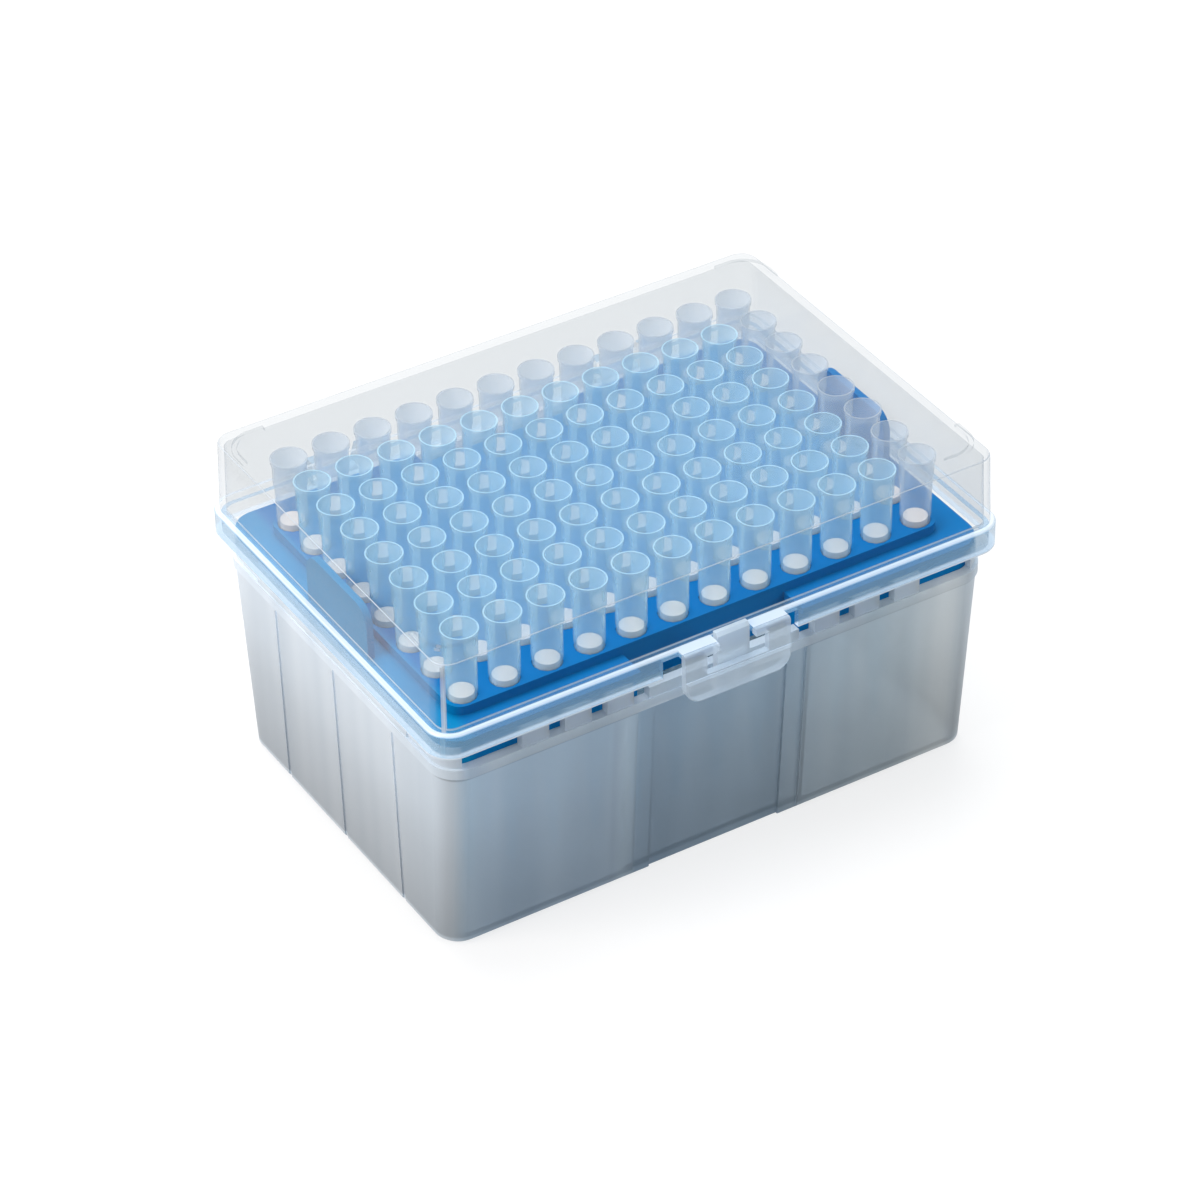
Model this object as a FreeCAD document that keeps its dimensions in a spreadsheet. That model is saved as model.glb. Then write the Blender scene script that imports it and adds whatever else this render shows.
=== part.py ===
"""A closed box of filter pipette tips: base, rack, hinged lid, latch, 96 tips and their filter plugs.

The tips, their plugs and the rack's holes are given twelve sides, because there are so many of them.

Frame: +X along the long side, +Y towards the hinge, +Z up, origin at the centre of the underside.
The sheet "Sizes" holds every size in millimetres. Its first cells are the driving sizes, and the
cells after them are worked out from those; the sketches and features are bound to both.
"""
import FreeCAD, Part
import math
import os
import re

import Sketcher

DRIVING_SIZES = {
    # the grid of tips
    "tip_pitch": 9.0,
    "tip_columns": 12,
    "tip_rows": 8,
    # one tip, with its heights counted from the point
    "tip_length": 57.5,
    "tip_rim_diameter": 7.2,
    "tip_seat_height": 42.5,
    "tip_seat_diameter": 5.7,
    "tip_nose_height": 15.0,
    "tip_nose_diameter": 3.3,
    "tip_point_diameter": 0.9,
    "tip_mouth_diameter": 6.4,
    "tip_orifice_diameter": 0.5,
    "tip_sides": 12,
    # the filter plug, pressed into the tip from its mouth
    "filter_depth": 14.0,
    "filter_length": 6.0,
    "filter_clearance": 0.1,
    # rack
    "rack_plate": 1.4,
    "rack_wall": 1.0,
    "rack_deck_rise": 1.9,
    "rack_deck_margin_x": 3.6,
    "rack_deck_margin_y": 3.5,
    "rack_deck_radius": 3.0,
    "rack_flange_inset": 0.3,
    "rack_skirt_depth": 6.0,
    "rack_skirt_clearance": 0.3,
    "rack_hole_clearance": 0.12,
    "rack_notch_width": 35.2,
    "rack_tab_width": 22.6,
    "rack_tab_drop": 6.0,
    "rack_tab_plate": 1.4,
    "rack_tab_radius": 4.0,
    "rack_tab_inset": 1.5,
    "rack_rib_depth": 4.0,
    # base
    "rim_margin_x": 9.5,
    "rim_margin_y": 10.2,
    "base_rim_radius": 5.5,
    "tip_floor_clearance": 7.3,
    "base_wall": 1.5,
    "base_floor": 1.8,
    "foot_inset_x": 0.7,
    "foot_inset_y": 3.1,
    "base_corner_radius": 5.0,
    "foot_bevel": 0.8,
    "panel_width": 29.0,
    "panel_depth": 0.6,
    "panel_border": 4.0,
    "panel_border_depth": 0.6,
    "groove_width": 1.2,
    "groove_depth": 0.3,
    "groove_spacing": 22.0,
    # the shelf round the base and the pads that the lid sits on
    "shelf_drop": 4.7,
    "shelf_plate": 2.1,
    "shelf_overhang": 0.6,
    "pad_height": 4.7,
    "pad_inset": 0.2,
    "pad_gap": 3.4,
    "first_gap": 2,
    "pads_per_side": 3,
    "centre_pad_height": 2.4,
    "corner_post": 3.5,
    "end_pad_length": 56.0,
    # lid
    "lid_seat_gap": 0.2,
    "lid_rim_gap": 0.3,
    "lid_wall": 1.2,
    "lid_top_plate": 1.3,
    "lid_headroom": 0.9,
    "lid_corner_radius": 4.2,
    "lid_draft": 0.5,
    "lid_edge_round": 0.8,
    "skirt_height": 5.2,
    "skirt_step": 1.0,
    "skirt_bevel": 0.4,
    "ridge_height": 0.7,
    "ridge_width": 1.0,
    "ridge_leg": 9.0,
    "ridge_clearance": 0.15,
    # latch, its hinge bead and its window, and the lug that the window takes
    "latch_width": 22.8,
    "latch_height": 11.0,
    "latch_plate": 1.4,
    "latch_stand_off": 1.1,
    "latch_side_gap": 3.3,
    "latch_corner_radius": 3.5,
    "latch_lip": 0.6,
    "latch_lip_bevel": 0.4,
    "latch_bead_clearance": 0.08,
    "window_width": 13.4,
    "window_height": 4.2,
    "window_bar": 1.5,
    "lug_width": 7.0,
    "lug_rise": 0.9,
    "lug_clearance": 0.3,
    "lug_side_gap": 0.4,
    "lug_slope": 0.6,
    # the two snap hinges behind
    "hinge_spacing": 64.0,
    "hinge_pin_diameter": 2.4,
    "hinge_pin_clearance": 0.1,
    "hinge_barrel_wall": 1.1,
    "hinge_barrel_length": 8.0,
    "hinge_ear_plate": 2.0,
    "hinge_side_gap": 0.2,
    "hinge_drop": 1.9,
    "hinge_stand_off": 0.3,
    "hinge_mouth": 1.9,
    # the hinge arm's outline below the pin's axis, in shares of the barrel's radius
    "arm_depth": 1.7,
    "arm_reach": 0.9,
    "arm_outer_drop": 0.5,
    "arm_inner_drop": 0.3,
}

WORKED_OUT_SIZES = {
    # the base round the grid and below the tips' points
    "grid_length": "(tip_columns - 1) * tip_pitch",
    "grid_width": "(tip_rows - 1) * tip_pitch",
    "base_rim_length": "grid_length + 2 * rim_margin_x",
    "base_rim_width": "grid_width + 2 * rim_margin_y",
    "tip_point_level": "base_floor + tip_floor_clearance",
    "deck_top": "tip_point_level + tip_seat_height",
    "deck_bottom": "deck_top - rack_plate",
    "flange_top": "deck_top - rack_deck_rise",
    "base_height": "flange_top - rack_plate",
    # levels, from the shelf up
    "shelf_top": "base_height - shelf_drop",
    "shelf_bottom": "shelf_top - shelf_plate",
    "pad_top": "shelf_top + pad_height",
    "centre_pad_end": "first_gap * tip_pitch - pad_gap / 2",
    "last_pad_end": "(first_gap + pads_per_side) * tip_pitch - pad_gap / 2",
    "skirt_bottom": "pad_top + lid_seat_gap",
    "ledge_top": "skirt_bottom + skirt_height",
    "ledge_bottom": "ledge_top - lid_wall",
    "rack_bottom": "base_height - rack_skirt_depth",
    "tip_top_level": "tip_point_level + tip_length",
    "lid_ceiling": "tip_top_level + lid_headroom",
    "lid_top": "lid_ceiling + lid_top_plate",
    # what passes through the grid
    "bore_slope": "(tip_mouth_diameter - tip_orifice_diameter) / 2 / tip_length",
    "filter_top": "tip_length - filter_depth",
    "filter_bottom": "filter_top - filter_length",
    "rack_hole_diameter": "tip_seat_diameter + 2 * rack_hole_clearance",
    # rack
    "tab_top": "tip_top_level - rack_tab_drop",
    "deck_length": "grid_length + 2 * rack_deck_margin_x",
    "deck_width": "grid_width + 2 * rack_deck_margin_y",
    "well_length": "base_rim_length - 2 * base_wall",
    "well_width": "base_rim_width - 2 * base_wall",
    "well_radius": "base_rim_radius - base_wall",
    "rack_skirt_length": "well_length - 2 * rack_skirt_clearance",
    "rack_skirt_width": "well_width - 2 * rack_skirt_clearance",
    "rack_skirt_radius": "well_radius - rack_skirt_clearance",
    # base
    "foot_length": "base_rim_length - 2 * foot_inset_x",
    "foot_width": "base_rim_width - 2 * foot_inset_y",
    "shelf_length": "base_rim_length + 2 * shelf_overhang",
    "shelf_width": "base_rim_width + 2 * shelf_overhang",
    # lid, outside sizes where its wall stands on the ledge
    "lid_length": "base_rim_length + 2 * lid_rim_gap + 2 * lid_wall",
    "lid_width": "base_rim_width + 2 * lid_rim_gap + 2 * lid_wall",
    "skirt_length": "lid_length + 2 * skirt_step",
    "skirt_width": "lid_width + 2 * skirt_step",
    "skirt_radius": "lid_corner_radius + skirt_step",
    "ridge_length": "foot_length + 2 * ridge_clearance + 2 * ridge_width",
    "ridge_span": "foot_width + 2 * ridge_clearance + 2 * ridge_width",
    # latch and lug, distances in front of the middle plane
    "latch_inside": "skirt_width / 2 + latch_stand_off",
    "latch_outside": "latch_inside + latch_plate",
    "bead_radius": "latch_plate / 2",
    "bead_distance": "latch_inside + bead_radius",
    "bead_level": "ledge_top - bead_radius",
    "window_top": "ledge_top - window_bar",
    "window_bottom": "window_top - window_height",
    "lug_inside": "lid_width / 2 + lug_clearance",
    "lug_outside": "latch_inside - lug_clearance",
    "slot_width": "lug_width + 2 * lug_side_gap",
    "skirt_opening": "latch_width + 2 * latch_side_gap",
    # hinge
    "barrel_radius": "hinge_pin_diameter / 2 + hinge_pin_clearance + hinge_barrel_wall",
    "hinge_level": "skirt_bottom - hinge_drop",
    "hinge_distance": "skirt_width / 2 + hinge_stand_off + barrel_radius",
    "yoke_length": "hinge_barrel_length + 2 * hinge_side_gap + 2 * hinge_ear_plate",
}

document = FreeCAD.newDocument("TipBox")
sheet = document.addObject("Spreadsheet::Sheet", "Sizes")


def fill_sheet():
    """The driving sizes as plain numbers and the others as formulas, each under its own name."""
    formulas = {name: "=" + formula for name, formula in WORKED_OUT_SIZES.items()}
    for row, (name, content) in enumerate((DRIVING_SIZES | formulas).items(), start=1):
        sheet.set(f"A{row}", name)
        sheet.set(f"B{row}", str(content))
        sheet.setAlias(f"B{row}", name)
    document.recompute()


def from_sheet(expression):
    """The expression with the sheet's name put before each size."""
    return re.sub(r"\b[a-z]\w*\b(?!\()", r"Sizes.\g<0>", expression)


def value(expression):
    return float(sheet.evalExpression(from_sheet(expression)))


def new_body(label):
    body = document.addObject("PartDesign::Body", label)
    body.Label = label
    return body


def origin_feature(body, role):
    return next(feature for feature in body.Origin.OriginFeatures if feature.Role == role)


def new_sketch(body, name, plane="XY_Plane", offset="0"):
    """A sketch on one of the body's own planes, moved along the plane's normal."""
    sketch = body.newObject("Sketcher::SketchObject", f"{body.Label}_{name}")
    sketch.AttachmentSupport = [(origin_feature(body, plane), "")]
    sketch.MapMode = "FlatFace"
    sketch.setExpression("AttachmentOffset.Base.z", from_sheet(offset))
    return sketch


def bind(sketch, kind, places, expression):
    """A dimension of the sketch that follows the sheet."""
    index = sketch.addConstraint(Sketcher.Constraint(kind, *places, value(expression)))
    sketch.setExpression(f"Constraints[{index}]", from_sheet(expression))


def pin_point(sketch, curve, end, x, y):
    """Holds one end of a curve at (x, y)."""
    for kind, axis, expression in (("DistanceX", -2, x), ("DistanceY", -1, y)):
        if expression == "0":
            sketch.addConstraint(Sketcher.Constraint("PointOnObject", curve, end, axis))
        else:
            bind(sketch, kind, (-1, 1, curve, end), expression)


def polygon(sketch, points):
    """A closed outline through points given as pairs of expressions."""
    corners = [FreeCAD.Vector(value(x), value(y), 0) for x, y in points]
    first = sketch.GeometryCount
    count = len(points)
    for number, corner in enumerate(corners):
        sketch.addGeometry(Part.LineSegment(corner, corners[(number + 1) % count]), False)
    for number, (x, y) in enumerate(points):
        following = first + (number + 1) % count
        sketch.addConstraint(Sketcher.Constraint("Coincident", first + number, 2, following, 1))
        pin_point(sketch, first + number, 1, x, y)


def rectangle(sketch, left, right, low, high):
    polygon(sketch, [(left, low), (right, low), (right, high), (left, high)])


def centred_rectangle(sketch, length, low, high):
    rectangle(sketch, f"-({length}) / 2", f"({length}) / 2", low, high)


def circle(sketch, x, y, radius):
    centre = FreeCAD.Vector(value(x), value(y), 0)
    curve = sketch.addGeometry(Part.Circle(centre, FreeCAD.Vector(0, 0, 1), value(radius)), False)
    pin_point(sketch, curve, 3, x, y)
    bind(sketch, "Radius", (curve,), radius)


def regular_polygon(sketch, x, y, radius):
    """Equal sides on a construction circle, with the first corner straight to the right of (x, y)."""
    centre = FreeCAD.Vector(value(x), value(y), 0)
    count = int(value("tip_sides"))
    spokes = [FreeCAD.Rotation(360 * number / count, 0, 0) for number in range(count)]
    corners = [centre + spoke.multVec(FreeCAD.Vector(value(radius), 0, 0)) for spoke in spokes]
    for number, corner in enumerate(corners):
        sketch.addGeometry(Part.LineSegment(corner, corners[(number + 1) % count]), False)
    ring = sketch.addGeometry(Part.Circle(centre, FreeCAD.Vector(0, 0, 1), value(radius)), True)
    for number in range(count):
        sketch.addConstraint(Sketcher.Constraint("Coincident", number, 2, (number + 1) % count, 1))
        sketch.addConstraint(Sketcher.Constraint("PointOnObject", number, 1, ring))
        if number:
            sketch.addConstraint(Sketcher.Constraint("Equal", 0, number))
    sketch.addConstraint(Sketcher.Constraint("Horizontal", 0, 1, ring, 3))
    pin_point(sketch, ring, 3, x, y)
    bind(sketch, "Radius", (ring,), radius)


def rounded_rectangle(sketch, length, width, radius):
    """A rectangle with round corners about the sketch's origin."""
    half_x, half_y, r = value(length) / 2, value(width) / 2, value(radius)
    quarter = math.pi / 2
    first = sketch.GeometryCount
    sides = [
        ((r - half_x, -half_y), (half_x - r, -half_y)),
        ((half_x, r - half_y), (half_x, half_y - r)),
        ((half_x - r, half_y), (r - half_x, half_y)),
        ((-half_x, half_y - r), (-half_x, r - half_y)),
    ]
    centres = [(1, -1), (1, 1), (-1, 1), (-1, -1)]
    for number, ((start, end), (side_x, side_y)) in enumerate(zip(sides, centres)):
        line = Part.LineSegment(FreeCAD.Vector(*start, 0), FreeCAD.Vector(*end, 0))
        centre = FreeCAD.Vector(side_x * (half_x - r), side_y * (half_y - r), 0)
        corner = Part.Circle(centre, FreeCAD.Vector(0, 0, 1), r)
        sketch.addGeometry(line, False)
        sketch.addGeometry(Part.ArcOfCircle(corner, (number - 1) * quarter, number * quarter), False)
    for number in range(4):
        line, arc = first + 2 * number, first + 2 * number + 1
        next_line = first + (2 * number + 2) % 8
        direction = "Vertical" if number % 2 else "Horizontal"
        sketch.addConstraint(Sketcher.Constraint(direction, line))
        sketch.addConstraint(Sketcher.Constraint("Tangent", line, 2, arc, 1))
        sketch.addConstraint(Sketcher.Constraint("Tangent", arc, 2, next_line, 1))
    for number in range(1, 4):
        sketch.addConstraint(Sketcher.Constraint("Equal", first + 1, first + 2 * number + 1))
    sketch.addConstraint(Sketcher.Constraint("Symmetric", first + 1, 3, first + 5, 3, -1, 1))
    bind(sketch, "DistanceX", (first + 6, 1, first + 2, 1), length)
    bind(sketch, "DistanceY", (first, 1, first + 4, 1), width)
    bind(sketch, "Radius", (first + 1,), radius)


def feature_of(body, kind, name, profile):
    feature = body.newObject(f"PartDesign::{kind}", f"{body.Label}_{name}")
    feature.Profile = profile
    return feature


def pad(body, name, profile, length, sides="One side"):
    feature = feature_of(body, "Pad", name, profile)
    feature.SideType = sides
    feature.setExpression("Length", from_sheet(length))
    document.recompute()
    return feature


def check_cut(feature):
    """A cut that leaves the volume as it was has missed the solid."""
    document.recompute()
    if feature.Shape.Volume >= feature.BaseFeature.Shape.Volume:
        raise ValueError(f"{feature.Label} cuts nothing")
    return feature


def pocket(body, name, profile, length, sides="One side", reverse=False):
    """A cut down from its sketch, or up when it is reversed."""
    feature = feature_of(body, "Pocket", name, profile)
    feature.SideType = sides
    feature.Reversed = reverse
    feature.setExpression("Length", from_sheet(length))
    return check_cut(feature)


def loft(body, name, bottom, *sections):
    feature = feature_of(body, "AdditiveLoft", name, bottom)
    feature.Sections = list(sections)
    feature.Ruled = True
    document.recompute()
    return feature


def loft_cut(body, name, bottom, top):
    feature = feature_of(body, "SubtractiveLoft", name, bottom)
    feature.Sections = [top]
    feature.Ruled = True
    return check_cut(feature)


def row(body, name, originals, axis, extent, count):
    """Copies of features along an axis, which become the body's result."""
    feature = body.newObject("PartDesign::LinearPattern", f"{body.Label}_{name}")
    feature.Originals = originals
    feature.Direction = (origin_feature(body, axis), [""])
    feature.setExpression("Length", from_sheet(extent))
    feature.setExpression("Occurrences", from_sheet(count))
    body.Tip = feature
    document.recompute()
    return feature


def edges_where(feature, test):
    edges = enumerate(feature.Shape.Edges, start=1)
    return [f"Edge{number}" for number, edge in edges if test(edge.BoundBox)]


def faces_where(feature, test):
    faces = enumerate(feature.Shape.Faces, start=1)
    return [f"Face{number}" for number, face in faces if test(face.BoundBox)]


def level_plane(body, name, level):
    plane = body.newObject("PartDesign::Plane", f"{body.Label}_{name}")
    plane.AttachmentSupport = [(origin_feature(body, "XY_Plane"), "")]
    plane.MapMode = "FlatFace"
    plane.setExpression("AttachmentOffset.Base.z", from_sheet(level))
    document.recompute()
    return plane


def draft_walls(body, name, base, plane, size, reverse):
    """Tilts the base's four upright outside or inside walls, of a size given along X and along Y."""
    for axis, length in zip("xy", size):
        distance = value(length) / 2

        def wall(box):
            thickness = box.XLength if axis == "x" else box.YLength
            return near(thickness, 0) and near(abs(getattr(box.Center, axis)), distance)

        feature = body.newObject("PartDesign::Draft", f"{body.Label}_{name}_{axis}")
        feature.Base = (base, faces_where(base, wall))
        feature.NeutralPlane = (plane, [""])
        feature.Reversed = reverse
        feature.setExpression("Angle", from_sheet(f"atan(foot_inset_{axis} / shelf_bottom)"))
        document.recompute()
        base = feature
    return base


def dress(body, kind, name, base, test, size):
    """A Fillet or a Chamfer on the edges whose bounding boxes pass the test."""
    feature = body.newObject(f"PartDesign::{kind}", f"{body.Label}_{name}")
    feature.Base = (base, edges_where(base, test))
    feature.setExpression("Radius" if kind == "Fillet" else "Size", from_sheet(size))
    document.recompute()
    return feature


def near(first, second):
    return abs(first - second) < 1e-4


def between(low, high):
    """The test for what runs from one height to another, or lies flat when both are the same."""
    bottom, top = value(low), value(high)
    return lambda box: near(box.ZMin, bottom) and near(box.ZMax, top)


def block_outline(body, name, level, length, width):
    """A sketch at a height with a plain rectangle about the middle, for a drafted block's loft."""
    sketch = new_sketch(body, name, offset=level)
    centred_rectangle(sketch, length, f"-({width}) / 2", f"({width}) / 2")
    return sketch


def length_at(level):
    """The base's outside length at a height on its drafted walls."""
    return f"(foot_length + 2 * foot_inset_x * {level} / shelf_bottom)"


def width_at(level):
    return f"(foot_width + 2 * foot_inset_y * {level} / shelf_bottom)"


def ring(sketch, length, width, radius):
    """A round-cornered outline about the well's mouth."""
    rounded_rectangle(sketch, length, width, radius)
    rounded_rectangle(sketch, "well_length", "well_width", "well_radius")


def build_base_walls(body):
    """A block with its well, drafted inside and outside to an even wall; then the rim and the shelf."""
    outside, inside = ("base_rim_length", "base_rim_width"), ("well_length", "well_width")
    foot = block_outline(body, "foot", "0", *outside)
    pad(body, "block", foot, "shelf_bottom")
    neck = block_outline(body, "well_neck", "shelf_bottom", *inside)
    hollowed = pocket(body, "well", neck, "shelf_bottom - base_floor")
    plane = level_plane(body, "draft_plane", "shelf_bottom")
    hollowed = draft_walls(body, "well_draft", hollowed, plane, inside, False)
    drafted = draft_walls(body, "block_draft", hollowed, plane, outside, True)
    uprights = between("base_floor", "shelf_bottom")
    rounded = dress(body, "Fillet", "well_corners", drafted, uprights, "base_corner_radius - base_wall")
    uprights = between("0", "shelf_bottom")
    rounded = dress(body, "Fillet", "block_corners", rounded, uprights, "base_corner_radius")
    dress(body, "Chamfer", "foot_edge", rounded, between("0", "0"), "foot_bevel")

    rim = new_sketch(body, "rim", offset="shelf_bottom")
    ring(rim, "base_rim_length", "base_rim_width", "base_rim_radius")
    pad(body, "rim_pad", rim, "base_height - shelf_bottom")
    shelf = new_sketch(body, "shelf", offset="shelf_bottom")
    ring(shelf, "shelf_length", "shelf_width", "base_rim_radius + shelf_overhang")
    pad(body, "shelf_pad", shelf, "shelf_plate")


def front_block(body, name, width, outer, inner):
    """Rectangles at the foot and the neck, between two distances inside the drafted front wall."""
    sketches = []
    for level in ("0", "shelf_bottom"):
        front = f"{width_at(level)} / 2"
        sketch = new_sketch(body, f"{name}_{level}", offset=level)
        centred_rectangle(sketch, width, f"{outer} - {front}", f"{inner} - {front}")
        sketches.append(sketch)
    return sketches


def build_front_panel(body):
    """The sunken front panel inside a shallower border, with the wall made good behind both."""
    border_width = "(panel_width + 2 * panel_border)"
    sunk = "(panel_depth + panel_border_depth)"
    backing = front_block(
        body, "panel_backing", f"{border_width} + 2 * base_wall", "base_wall / 2", f"base_wall + {sunk}"
    )
    loft(body, "panel_backing_loft", *backing)
    outside = "-2 * panel_depth"
    border = front_block(body, "border", border_width, outside, "panel_border_depth")
    loft_cut(body, "border_cut", *border)
    panel = front_block(body, "panel", "panel_width", outside, sunk)
    loft_cut(body, "panel_cut", *panel)


def build_end_grooves(body):
    """Three shallow upright grooves in each end wall."""
    for end, sign in (("right", ""), ("left", "-")):
        sketches = []
        for level in ("0", "shelf_bottom"):
            sketch = new_sketch(body, f"{end}_groove_{level}", offset=level)
            inner = f"{sign}({length_at(level)} / 2 - groove_depth)"
            outer = f"{sign}({length_at(level)} / 2 + groove_depth)"
            near, far = "-groove_spacing - groove_width / 2", "-groove_spacing + groove_width / 2"
            rectangle(sketch, inner, outer, near, far)
            sketches.append(sketch)
        groove = loft_cut(body, f"{end}_groove", *sketches)
        row(body, f"{end}_grooves", [groove], "Y_Axis", "2 * groove_spacing", "3")


def build_seat_pads(body):
    """Pads on the shelf, parted on the tips' pitch along the sides, and one long pad at each end."""
    sketch = new_sketch(body, "seat_pads", offset="shelf_top")
    inner, outer = "(base_rim_width / 2 - base_wall / 2)", "(shelf_width / 2 - pad_inset)"
    rectangle(sketch, "-centre_pad_end", "centre_pad_end", inner, outer)
    for sign in ("", "-"):
        for side in ("", "-"):
            for number in range(int(value("pads_per_side"))):
                start = f"{side}((first_gap + {number}) * tip_pitch + pad_gap / 2)"
                end = f"{side}((first_gap + {number + 1}) * tip_pitch - pad_gap / 2)"
                rectangle(sketch, start, end, f"{sign}{inner}", f"{sign}{outer}")
        rectangle(
            sketch,
            f"{sign}(base_rim_length / 2 - base_wall / 2)",
            f"{sign}(shelf_length / 2 - pad_inset)",
            "-end_pad_length / 2",
            "end_pad_length / 2",
        )
    pad(body, "seat_pads_pad", sketch, "pad_height")
    centre = new_sketch(body, "centre_pad", offset="shelf_top")
    rectangle(centre, "-centre_pad_end", "centre_pad_end", f"-{inner}", f"-{outer}")
    pad(body, "centre_pad_pad", centre, "centre_pad_height")


def build_front_slots(body):
    """Slots through the front rim between its pads and up to the corners, and a dip behind the latch."""
    inner, outer = "-(base_rim_width / 2 - 2 * base_wall)", "-shelf_width / 2"
    dip = new_sketch(body, "centre_dip", offset="base_height")
    rectangle(dip, "-centre_pad_end", "centre_pad_end", inner, outer)
    pocket(body, "centre_dip_cut", dip, "shelf_drop - centre_pad_height")
    slots = new_sketch(body, "front_slots", offset="base_height")
    for side in ("", "-"):
        for number in range(int(value("pads_per_side"))):
            middle = f"(first_gap + {number}) * tip_pitch"
            start, end = f"{side}({middle} - pad_gap / 2)", f"{side}({middle} + pad_gap / 2)"
            rectangle(slots, start, end, inner, outer)
        corner = f"{side}(base_rim_length / 2 - corner_post)"
        rectangle(slots, f"{side}last_pad_end", corner, inner, outer)
    pocket(body, "front_slots_cut", slots, "shelf_drop")


def build_lug(body):
    """The upright catch that stands in the latch's window, on a foot that reaches out of the shelf."""
    sketch = new_sketch(body, "lug", plane="YZ_Plane")
    lug_top = "(ledge_top + lug_rise)"
    polygon(
        sketch,
        [
            ("-(base_rim_width / 2 - base_wall / 2)", "shelf_bottom"),
            ("-(lug_outside - lug_slope)", "shelf_bottom"),
            ("-lug_outside", "shelf_bottom + lug_slope"),
            ("-lug_outside", f"{lug_top} - lug_slope"),
            ("-(lug_outside - lug_slope)", lug_top),
            ("-lug_inside", lug_top),
            ("-lug_inside", "shelf_top"),
            ("-(base_rim_width / 2 - base_wall / 2)", "shelf_top"),
        ],
    )
    pad(body, "lug_pad", sketch, "lug_width", "Symmetric")


def hinge_station(body, name, sign):
    return new_sketch(body, name, plane="YZ_Plane", offset=f"{sign}hinge_spacing / 2")


def build_base_hinges(body):
    """Two barrels on arms from the shelf, bored for the lid's pins and open behind to snap on."""
    reach = "arm_reach * barrel_radius"
    for side, sign in (("right", ""), ("left", "-")):
        arm = hinge_station(body, f"{side}_arm", sign)
        polygon(
            arm,
            [
                ("base_rim_width / 2 - base_wall / 2", "shelf_bottom"),
                ("hinge_distance", "hinge_level - arm_depth * barrel_radius"),
                (f"hinge_distance + {reach}", "hinge_level - arm_outer_drop * barrel_radius"),
                (f"hinge_distance - {reach}", "hinge_level - arm_inner_drop * barrel_radius"),
                ("shelf_width / 2", "shelf_top"),
                ("base_rim_width / 2 - base_wall / 2", "shelf_top"),
            ],
        )
        pad(body, f"{side}_arm_pad", arm, "hinge_barrel_length", "Symmetric")
        barrel = hinge_station(body, f"{side}_barrel", sign)
        circle(barrel, "hinge_distance", "hinge_level", "barrel_radius")
        pad(body, f"{side}_barrel_pad", barrel, "hinge_barrel_length", "Symmetric")
        bore = hinge_station(body, f"{side}_bore", sign)
        circle(bore, "hinge_distance", "hinge_level", "hinge_pin_diameter / 2 + hinge_pin_clearance")
        pocket(body, f"{side}_bore_cut", bore, "hinge_barrel_length", "Symmetric")
        mouth = hinge_station(body, f"{side}_snap_mouth", sign)
        rectangle(
            mouth,
            "hinge_distance",
            "hinge_distance + 2 * barrel_radius",
            "hinge_level - hinge_mouth / 2",
            "hinge_level + hinge_mouth / 2",
        )
        pocket(body, f"{side}_snap_mouth_cut", mouth, "hinge_barrel_length", "Symmetric")


def build_base():
    body = new_body("base")
    build_base_walls(body)
    build_front_panel(body)
    build_end_grooves(body)
    build_seat_pads(body)
    build_front_slots(body)
    build_lug(body)
    build_base_hinges(body)
    return body


def build_rack_notch(body, side, sign):
    """A finger recess in one long side: walls round it from the deck down, then the cut."""
    walls = new_sketch(body, f"{side}_notch_walls", offset="rack_bottom")
    rectangle(
        walls,
        "-(rack_notch_width / 2 + rack_wall)",
        "rack_notch_width / 2 + rack_wall",
        f"{sign}(deck_width / 2 - rack_wall)",
        f"{sign}(rack_skirt_width / 2 - rack_wall / 2)",
    )
    pad(body, f"{side}_notch_walls_pad", walls, "flange_top - rack_bottom")
    recess = new_sketch(body, f"{side}_notch", offset="flange_top")
    inner, outer = f"{sign}(deck_width / 2)", f"{sign}(base_rim_width / 2)"
    centred_rectangle(recess, "rack_notch_width", inner, outer)
    pocket(body, f"{side}_notch_cut", recess, "flange_top - rack_bottom")


def build_rack_tab(body, side, sign):
    """An upright lifting tab with round upper corners on one end of the flange."""
    middle = f"{sign}(base_rim_length / 2 - rack_tab_inset - rack_tab_plate / 2)"
    sketch = new_sketch(body, f"{side}_tab", plane="YZ_Plane", offset=middle)
    centred_rectangle(sketch, "rack_tab_width", "base_height + rack_plate / 2", "tab_top")
    tab = pad(body, f"{side}_tab_pad", sketch, "rack_tab_plate", "Symmetric")
    top, plate, end = value("tab_top"), value("rack_tab_plate"), value(middle)

    def upper_corner(box):
        return abs(box.Center.x - end) < plate and near(box.XLength, plate) and near(box.ZMin, top)

    dress(body, "Fillet", f"{side}_tab_corners", tab, upper_corner, "rack_tab_radius")


def build_rack_ribs(body):
    """Stiffening ribs under the deck, between every second row and column of holes."""
    low = "deck_bottom - rack_rib_depth"
    long_reach, cross_reach = (f"deck_{size} / 2 - rack_wall / 2" for size in ("length", "width"))
    for direction, holes in (("long", "tip_rows"), ("cross", "tip_columns")):
        count = int(value(holes))
        sketch = new_sketch(body, f"{direction}_ribs", offset=low)
        for number in range(2 - count // 2, count // 2, 2):
            start, end = f"{number} * tip_pitch - rack_wall / 2", f"{number} * tip_pitch + rack_wall / 2"
            if direction == "long":
                rectangle(sketch, f"-({long_reach})", long_reach, start, end)
            else:
                rectangle(sketch, start, end, f"-({cross_reach})", cross_reach)
        pad(body, f"{direction}_ribs_pad", sketch, "rack_rib_depth + rack_plate / 2")


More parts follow.
